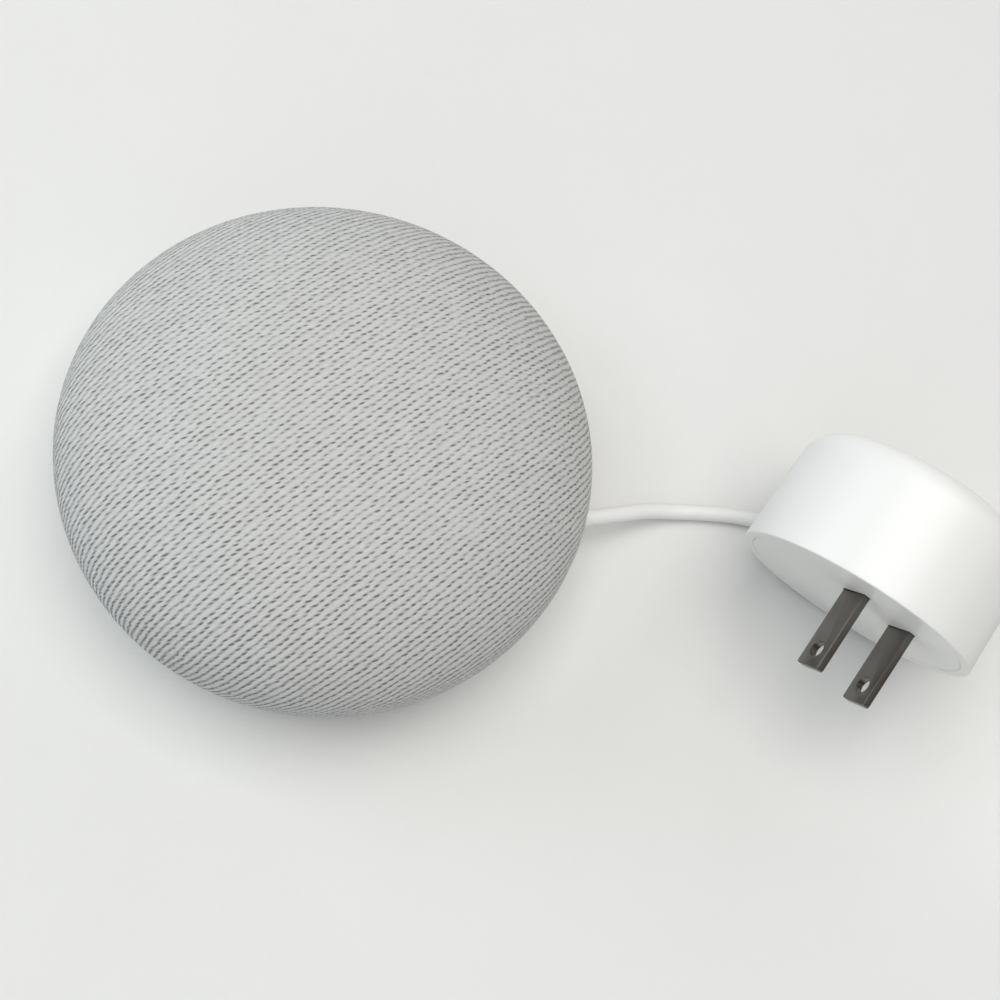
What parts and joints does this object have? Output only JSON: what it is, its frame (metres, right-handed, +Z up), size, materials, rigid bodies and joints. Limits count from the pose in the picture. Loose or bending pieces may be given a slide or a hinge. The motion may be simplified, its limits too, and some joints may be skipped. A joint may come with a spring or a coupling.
{
  "type": "smart speaker",
  "caption": "Round puck-shaped smart speaker with a knitted fabric dome, moulded base, rubber foot, coiled power lead and a round two-blade wall adapter.",
  "frame": {"origin": "centre of the flat face of the foot pad, on the surface that the speaker stands on", "axes": "+Z up along the speaker's round axis, out of the fabric dome; +X towards the side where the power lead leaves; -Y towards the viewer"},
  "size_m": [0.2456, 0.1077, 0.0515],
  "materials": {
    "fabric": "knitted polyester, light grey, matt",
    "shell": "moulded polycarbonate, satin",
    "rubber": "silicone rubber, matt",
    "screw_steel": "black zinc plated steel",
    "steel": "nickel plated steel",
    "blade_metal": "nickel plated brass, bright with dark reflections",
    "aluminium": "rolled sheet",
    "ferrite": "ground ferrite",
    "circuit_board": "solder mask over glass laminate",
    "chip": "black moulding compound",
    "copper": "bare copper",
    "cone_paper": "pressed paper",
    "foam": "closed cell foam",
    "frame_plastic": "glass filled nylon",
    "clear_plastic": "frosted light pipe",
    "accent_plastic": "coloured switch knob, satin",
    "ribbon": "polyimide film and resin cloth",
    "white_plastic": "white polycarbonate, fine satin",
    "lead_sheath": "white elastomer sheath",
    "tie_strap": "woven strap"
  },
  "bodies": {
    "root": {"adapter_board": "circuit_board", "adapter_capacitor": "chip", "adapter_face": "white_plastic", "adapter_housing": "white_plastic", "adapter_lead": "lead_sheath", "adapter_relief": "white_plastic", "adapter_transformer": "ferrite", "amplifier_chip": "chip", "antenna": "copper", "base_screw_1": "screw_steel", "base_screw_2": "screw_steel", "base_screw_3": "screw_steel", "base_screw_4": "screw_steel", "base_shell": "shell", "blade_left": "blade_metal", "blade_right": "blade_metal", "board_connector": "white_plastic", "driver_basket": "screw_steel", "driver_gasket": "foam", "driver_magnet": "ferrite", "driver_spider": "ribbon", "driver_surround": "rubber", "driver_top_plate": "steel", "driver_yoke": "steel", "fabric_cover": "fabric", "foot_pad": "rubber", "grille_dome": "frame_plastic", "heat_spreader": "aluminium", "lead_coil": "lead_sheath", "lead_tie": "tie_strap", "light_board": "circuit_board", "light_guide_1": "clear_plastic", "light_guide_2": "clear_plastic", "light_guide_3": "clear_plastic", "light_guide_4": "clear_plastic", "main_board": "circuit_board", "microphone_1": "steel", "microphone_2": "steel", "microphone_3": "steel", "mid_frame": "frame_plastic", "mute_switch_body": "chip", "plug_barrel": "steel", "plug_body": "lead_sheath", "power_lead": "lead_sheath", "power_socket": "chip", "processor_shield": "steel", "radio_shield": "steel", "ribbon_cable": "ribbon", "socket_pin": "steel", "thermal_pad": "foam", "touch_pad_left": "copper", "touch_pad_right": "copper", "trim_ring": "rubber"},
    "diaphragm": {"driver_cone": "cone_paper", "dust_cap": "cone_paper", "voice_coil": "copper"},
    "mute_knob": {"mute_switch_knob": "accent_plastic"}
  },
  "joints": [
    {"name": "mute_slide", "type": "slide", "parent": "root", "child": "mute_knob", "axis": [-0.8829, 0.4695, 0], "range_m": [0, 0.002]},
    {"name": "cone_travel", "type": "slide", "parent": "root", "child": "diaphragm", "axis": [0, 0, 1], "range_m": [-0.0015, 0.0015], "stiffness_N_per_m": 1800, "deforming": ["driver_spider", "driver_surround"]}
  ]
}
